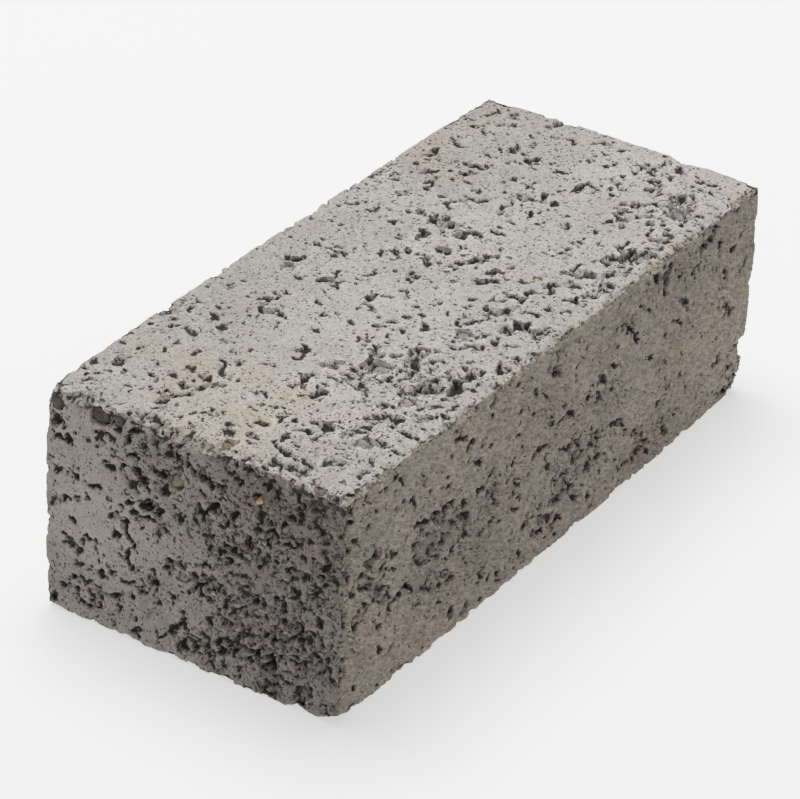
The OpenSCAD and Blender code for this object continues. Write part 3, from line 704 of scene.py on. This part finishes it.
# The top is greyer towards its far long arris; the near end is darker towards its crumbly side,
# and in a band under the top.
cement *= (1 - 0.1 * up * ramp(rest[:, 1], -10, 35))[:, None]
near = toward(0, -1)[:, 0]
cement *= (1 - 0.16 * near * ramp(-rest[:, 1], 5, 50))[:, None]
under_top = np.exp(-(((half[2] - rest[:, 2] - 8) / 7) ** 2)) * ramp(-rest[:, 1], -30, 10)
cement *= (1 - 0.2 * near * under_top)[:, None]
# The broken long top arris shows paler mortar.
pale = 0.85 * front_top * ramp(layered(rest, 5, 180), -0.3, 0.3)
cement += pale[:, None] * (np.array(PALE_CEMENT) - cement)


# ---- Meshes ----
def add_object(name, data):
    """A new object in the scene."""
    thing = bpy.data.objects.new(name, data)
    bpy.context.scene.collection.objects.link(thing)
    return thing


def make_piece(name, points, faces, finish, slot, nodes):
    """A mesh piece of points in mm from the brick's middle, which rides on the brick, stands for
    CAD nodes and takes the given finish. The slot is not used."""
    mesh = bpy.data.meshes.new(name)
    corners = [face.tolist() for group in faces for face in group]
    mesh.from_pydata(((points + middle) * MM).tolist(), [], corners)
    mesh.update()
    piece = add_object(name, mesh)
    mesh.materials.append(finish)
    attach(piece, "root")
    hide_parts(*nodes)
    return piece


def mark(mesh, name, values):
    """Gives a mesh a number or a colour at each vertex."""
    colour = values.ndim == 2
    layer = mesh.attributes.new(name, "FLOAT_COLOR" if colour else "FLOAT", "POINT")
    if colour:
        values = np.concatenate([values, np.ones((len(values), 1))], 1)
    layer.data.foreach_set("color" if colour else "value", values.astype(np.float32).ravel())


def thin(piece, triangles):
    """Merges the flattest of a piece's triangles until it has the given number, and keeps what
    is left inside the brick's box."""
    have = sum(len(face.vertices) - 2 for face in piece.data.polygons)
    if have <= triangles:
        return
    thinning = piece.modifiers.new("thin", "DECIMATE")
    thinning.ratio = triangles / have
    graph = bpy.context.evaluated_depsgraph_get()
    finished = bpy.data.meshes.new_from_object(piece.evaluated_get(graph))
    points = np.zeros(3 * len(finished.vertices))
    finished.vertices.foreach_get("co", points)
    points = np.clip(points.reshape(-1, 3), (middle - half) * MM, (middle + half) * MM)
    finished.vertices.foreach_set("co", points.ravel())
    piece.modifiers.clear()
    piece.data = finished


# ---- Finishes ----
class Value:
    """A shader socket. Arithmetic on it adds Math nodes to its finish."""

    def __init__(self, finish, socket):
        self.finish, self.socket = finish, socket

    def math(self, operation, one, two):
        return self.finish.node("ShaderNodeMath", {"operation": operation}, {0: one, 1: two})

    def __add__(self, other):
        return self.math("ADD", self, other)

    def __sub__(self, other):
        return self.math("SUBTRACT", self, other)

    def __rsub__(self, other):
        return self.math("SUBTRACT", other, self)

    def __mul__(self, other):
        return self.math("MULTIPLY", self, other)

    __radd__, __rmul__ = __add__, __mul__

    def either(self, other):
        """The greater of two values."""
        return self.math("MAXIMUM", self, other)

    def over(self, start, end):
        """0 below start, 1 above end, smooth between."""
        settings = {"interpolation_type": "SMOOTHSTEP"}
        return self.finish.node("ShaderNodeMapRange", settings, {0: self, 1: start, 2: end})


class Finish:
    """A material under construction, with a Principled shader that its values feed."""

    def __init__(self, name):
        self.material = bpy.data.materials.new(name)
        self.material.use_nodes = True
        self.tree = self.material.node_tree
        self.shader = self.tree.nodes["Principled BSDF"]
        self.place = self.node("ShaderNodeTexCoord", output="Object")

    def node(self, kind, settings=None, values=None, output=0):
        """Adds a node: settings first, then each input's value or link. Returns one output."""
        node = self.tree.nodes.new(kind)
        for name, setting in (settings or {}).items():
            setattr(node, name, setting)
        for name, value in (values or {}).items():
            if isinstance(value, Value):
                self.tree.links.new(value.socket, node.inputs[name])
            else:
                node.inputs[name].default_value = value
        return Value(self, node.outputs[output])

    def marked(self, name, output="Fac"):
        """What the mesh was marked with under a name."""
        return self.node("ShaderNodeAttribute", {"attribute_name": name}, output=output)

    def noise(self, size, detail=3.0, place=None):
        """Noise from 0 to 1 with features of the given size in mm."""
        values = {"Vector": place or self.place, "Scale": 1 / (size * MM)}
        values |= {"Detail": detail, "Roughness": 0.6}
        return self.node("ShaderNodeTexNoise", None, values)

    def grains(self, size, output):
        """Cells of the given size in mm: each one's own random colour, or the distance to its
        middle."""
        values = {"Vector": self.place, "Scale": 1 / (size * MM)}
        return self.node("ShaderNodeTexVoronoi", None, values, output)

    def channel(self, colour, name):
        """One channel of a colour."""
        return self.node("ShaderNodeSeparateColor", None, {0: colour}, name)

    def mix(self, factor, one, two, blend="MIX"):
        """Colour one, turned into colour two by the factor."""
        one, two = (c if isinstance(c, Value) else (*c, 1) for c in (one, two))
        settings = {"data_type": "RGBA", "blend_type": blend}
        return self.node("ShaderNodeMix", settings, {0: factor, 6: one, 7: two}, 2)

    def plain(self, colour):
        """A colour that is the same all over."""
        return self.mix(1.0, colour, colour)

    def shade(self, colour, strength):
        """The colour made lighter or darker by a strength round 1."""
        grey = self.node("ShaderNodeCombineColor", None, {0: strength, 1: strength, 2: strength})
        return self.mix(1.0, colour, grey, "MULTIPLY")

    def finish(self, colour, roughness, height, distance):
        """Feeds the shader: colour, roughness, and relief of the given depth in mm."""
        values = {"Height": height, "Distance": distance * MM, "Strength": 1.0}
        bump = self.node("ShaderNodeBump", None, values, "Normal")
        for name, value in (("Base Color", colour), ("Roughness", roughness), ("Normal", bump)):
            self.tree.links.new(value.socket, self.shader.inputs[name])
        self.shader.inputs["Specular IOR Level"].default_value = 0.3
        return self.material


# Colours of the hollows, partly dirt and partly painted shade, and of the pin holes' painted shade.
PIT_DIRT_AND_SHADE = (0.04, 0.037, 0.031)
PIT_WALL_DIRT_AND_SHADE = (0.2, 0.178, 0.155)
HOLE_SHADE = (0.06, 0.056, 0.048)
DARK_SAND = (0.12, 0.11, 0.1)
PALE_SAND = (0.66, 0.62, 0.56)
CEMENT_DUST = (0.47, 0.45, 0.425)


def mortar_finish():
    """Set cement: the body's colour, with painted shade on its ends and long sides and a painted
    highlight on its crests, mottled, with dark and pale sand grains and two sizes of pin holes
    painted near-black as painted shade. A hollow is brown at its walls and nearly black at its
    floor, with a ragged edge between: partly dirt, partly painted shade. On the long sides the
    grain and the holes are drawn out along a slope."""
    f = Finish("mortar")
    cement_and_shade_colour, in_cavity = f.marked("cement", "Color"), f.marked("cavity")
    crumbly_here, side = f.marked("crumbly"), f.marked("side")
    turn = {"Vector": f.place, "Angle": slope}
    turned = f.node("ShaderNodeVectorRotate", {"rotation_type": "Y_AXIS"}, turn)
    drawn_out = f.node("ShaderNodeVectorMath", {"operation": "MULTIPLY"}, {0: turned, 1: (0.5, 1, 1.15)})

    def along_face(size, detail):
        """Noise that is drawn out on the long sides."""
        plain, drawn_noise = f.noise(size, detail), f.noise(size, detail, drawn_out)
        return plain + side * (drawn_noise - plain)

    mottle, sand_tone, fine = f.noise(7), along_face(1.2, 3.0), f.noise(0.5, 2.0)
    rough_tone = (0.6 + 1.15 * side) * (sand_tone - 0.5)
    colour = f.shade(cement_and_shade_colour, 0.375 + 0.25 * mottle + rough_tone + 1.0 * fine)
    grain_tone = f.channel(f.grains(0.9, "Color"), "Red")
    grain_core = 1 - f.grains(0.9, "Distance").over(0.25, 0.5)
    colour = f.mix(grain_tone.over(0.93, 0.95) * grain_core * 0.55, colour, DARK_SAND)
    colour = f.mix((1 - grain_tone.over(0.05, 0.07)) * grain_core * 0.5, colour, PALE_SAND)

    gather = 0.09 * f.noise(13) + 0.05 * crumbly_here
    small_edge, large_edge = 0.69 + 0.02 * side - gather, 0.69 + 0.03 * side - gather
    small_holes = along_face(0.95, 2.0).over(small_edge, small_edge + 0.03)
    large_holes = along_face(2.2, 5.0).over(large_edge, large_edge + 0.03)
    holes = small_holes.either(large_holes)
    # Pin holes painted near-black: painted shade.
    colour = f.mix(holes * 0.88, colour, HOLE_SHADE)
    ragged_edge = 2.2 * along_face(1.1, 5.0) - 1.1
    # Hollows painted near-black at the floor and brown on the walls: partly dirt, partly painted shade.
    in_pit = (in_cavity + ragged_edge * in_cavity.over(0.0, 0.2)).over(0.22, 0.66)
    pit_grain = f.noise(0.7, 4.0)
    on_wall = (in_cavity + 0.5 * (pit_grain - 0.5)).over(0.0, 0.35)
    colour = f.mix(on_wall * 0.5, colour, PIT_WALL_DIRT_AND_SHADE)
    colour = f.mix(in_pit * 0.87, colour, PIT_DIRT_AND_SHADE)
    height = 0.9 * fine + (1.2 + 1.2 * side) * sand_tone - 1.8 * holes
    height = height - 1.2 * in_pit + 2.5 * in_cavity * pit_grain
    return f.finish(colour, 0.97 - 0.1 * fine, height, 0.3)


def stone_finish(name, colour, dustiness):
    """Dull stone: its colour clouded and speckled, pitted with pits painted near-black as painted
    shade, and dusted with cement.
    """
    f = Finish(name)
    clouds, speckle, fine = f.noise(1.8), f.noise(0.6, 4.0), f.noise(0.4, 2.0)
    tone = f.shade(f.plain(colour), -0.15 + 0.5 * clouds + 0.9 * speckle + 0.9 * fine)
    dust = f.noise(2.4, 4.0).over(0.4, 0.6)
    tone = f.mix(dust * dustiness, tone, CEMENT_DUST)
    pits = f.noise(1.2, 4.0).over(0.6, 0.66)
    # Pits painted near-black: painted shade.
    tone = f.mix(pits * 0.8, tone, HOLE_SHADE)
    return f.finish(tone, 0.95 - 0.1 * clouds, fine + 1.2 * speckle + clouds - 1.2 * pits, 0.3)


# ---- Pieces ----
slots = {part["node"]: part["material_slot"] for part in frame["record"]["subparts"]}
# Points round and points up a stone's and a grain's surface.
STONE_GRID, GRAIN_GRID = (36, 20), (8, 6)
# Shares of a clean stone, a dusty stone and a grain that cement dust covers.
CLEAN, DUSTY, GRAIN_DUST = 0.15, 0.75, 0.5
# Edges that turn by more than this stay sharp.
MORTAR_SHARP, STONE_SHARP = math.radians(50), math.radians(40)

body = make_piece(
    "mortar_block", place, [lattice_quads()], mortar_finish(), slots["mortar_body"], ["mortar_body"]
)
mark(body.data, "cement", cement)
mark(body.data, "cavity", cavity)
mark(body.data, "crumbly", crumbly)
mark(body.data, "side", side_on)
thin(body, body_triangles)
body.data.shade_smooth()
body.data.set_sharp_from_angle(angle=MORTAR_SHARP)

for node, (_, colour) in STONES.items():
    points, quads, caps = stones[node].surface(*STONE_GRID)
    # Coloured and dark stones show clean; grey ones are hardly seen through their cement.
    clean = max(colour) > 1.3 * min(colour) or max(colour) < 0.2
    finish = stone_finish(node, colour, CLEAN if clean else DUSTY)
    piece = make_piece(node + "_set", points, [quads, caps], finish, slots[node], [node])
    piece.data.shade_smooth()
    piece.data.set_sharp_from_angle(angle=STONE_SHARP)

GRAIN_COLOURS = ((0.2, 0.2, 0.19), (0.42, 0.36, 0.28), (0.5, 0.49, 0.46), (0.33, 0.31, 0.28))
for number, (node, grains) in enumerate(grit.items()):
    points, quads, caps, done = [], [], [], 0
    for grain in grains:
        grain_points, grain_quads, grain_caps = grain.surface(*GRAIN_GRID)
        points.append(grain_points)
        quads.append(grain_quads + done)
        caps.append(grain_caps + done)
        done += len(grain_points)
    finish = stone_finish(node, GRAIN_COLOURS[number % len(GRAIN_COLOURS)], GRAIN_DUST)
    make_piece(node + "_set", np.concatenate(points), [*quads, *caps], finish, slots[node], [node])


# ---- Floor, light and camera ----
FLOOR_RADIUS, FLAT_RADIUS = 4, 3.5
FLOOR_COLOUR = (0.34, 0.34, 0.34)
# The floor glows a little, so that the brick's shadow on it stays faint.
FLOOR_GLOW = 0.555
ROOM_LIGHT = 0.3


def floor():
    """Pale matt floor, a disc of rings whose far edge curls up a little."""
    rings, across = 24, 64
    radius = np.linspace(0, FLOOR_RADIUS, rings + 1)[1:, None]
    angle = np.linspace(0, 2 * math.pi, across, endpoint=False)
    lift = 0.02 * np.maximum(radius - FLAT_RADIUS, 0) ** 2 + 0 * angle
    ground = np.stack([radius * np.cos(angle), radius * np.sin(angle), lift], -1)
    i, j = np.arange(across), np.arange(rings - 1)[:, None] * across
    after = (i + 1) % across
    quads = np.stack([j + i, j + across + i, j + across + after, j + after], -1).reshape(-1, 4)
    middle_fan = np.stack([np.full(across, rings * across), i, after], 1)
    mesh = bpy.data.meshes.new("floor")
    points = np.concatenate([ground.reshape(-1, 3), [(0, 0, 0)]])
    mesh.from_pydata(points.tolist(), [], quads.tolist() + middle_fan.tolist())
    piece = add_object("floor", mesh)
    f = Finish("floor")
    colour = f.shade(f.plain(FLOOR_COLOUR), 0.985 + 0.03 * f.noise(60))
    f.shader.inputs["Emission Color"].default_value = (1, 1, 1, 1)
    f.shader.inputs["Emission Strength"].default_value = FLOOR_GLOW
    mesh.materials.append(f.finish(colour, 0.9 + 0.05 * f.noise(5), f.noise(2), 0.02))


floor()
world = bpy.data.worlds.new("room")
bpy.context.scene.world = world
world.use_nodes = True
background = world.node_tree.nodes["Background"]
background.inputs["Color"].default_value = (1, 1, 1, 1)
background.inputs["Strength"].default_value = ROOM_LIGHT

# A square softbox overhead, which faces the brick.
softbox = bpy.data.lights.new("overhead", "AREA")
softbox.shape, softbox.size, softbox.energy = "SQUARE", 1.6, 43
lamp = add_object("overhead", softbox)
lamp.location = 0.3, 0.5, 2.2
lamp.rotation_euler = (-lamp.location).to_track_quat("-Z", "Y").to_euler()

# The camera: which way it looks, its roll, how far off it stands, and what it is aimed at.
AZIMUTH, ELEVATION, ROLL = (math.radians(angle) for angle in (58.6, 30.74, 3.32))
DISTANCE, AIM = 1.0694, Vector((-0.0046, 0.0033, 0.0328))
camera_data = bpy.data.cameras.new("camera")
camera_data.sensor_width, camera_data.lens = 36, 162.5
camera_data.clip_start, camera_data.clip_end = 0.05, 20
camera = add_object("camera", camera_data)
level = Vector((math.sin(AZIMUTH), math.cos(AZIMUTH), 0))
forward = level * math.cos(ELEVATION) - Vector((0, 0, math.sin(ELEVATION)))
turned = forward.to_track_quat("-Z", "Y").to_matrix() @ Matrix.Rotation(ROLL, 3, "Z")
camera.matrix_world = Matrix.Translation(AIM - DISTANCE * forward) @ turned.to_4x4()
bpy.context.scene.camera = camera
bpy.context.scene.view_settings.view_transform = "Standard"
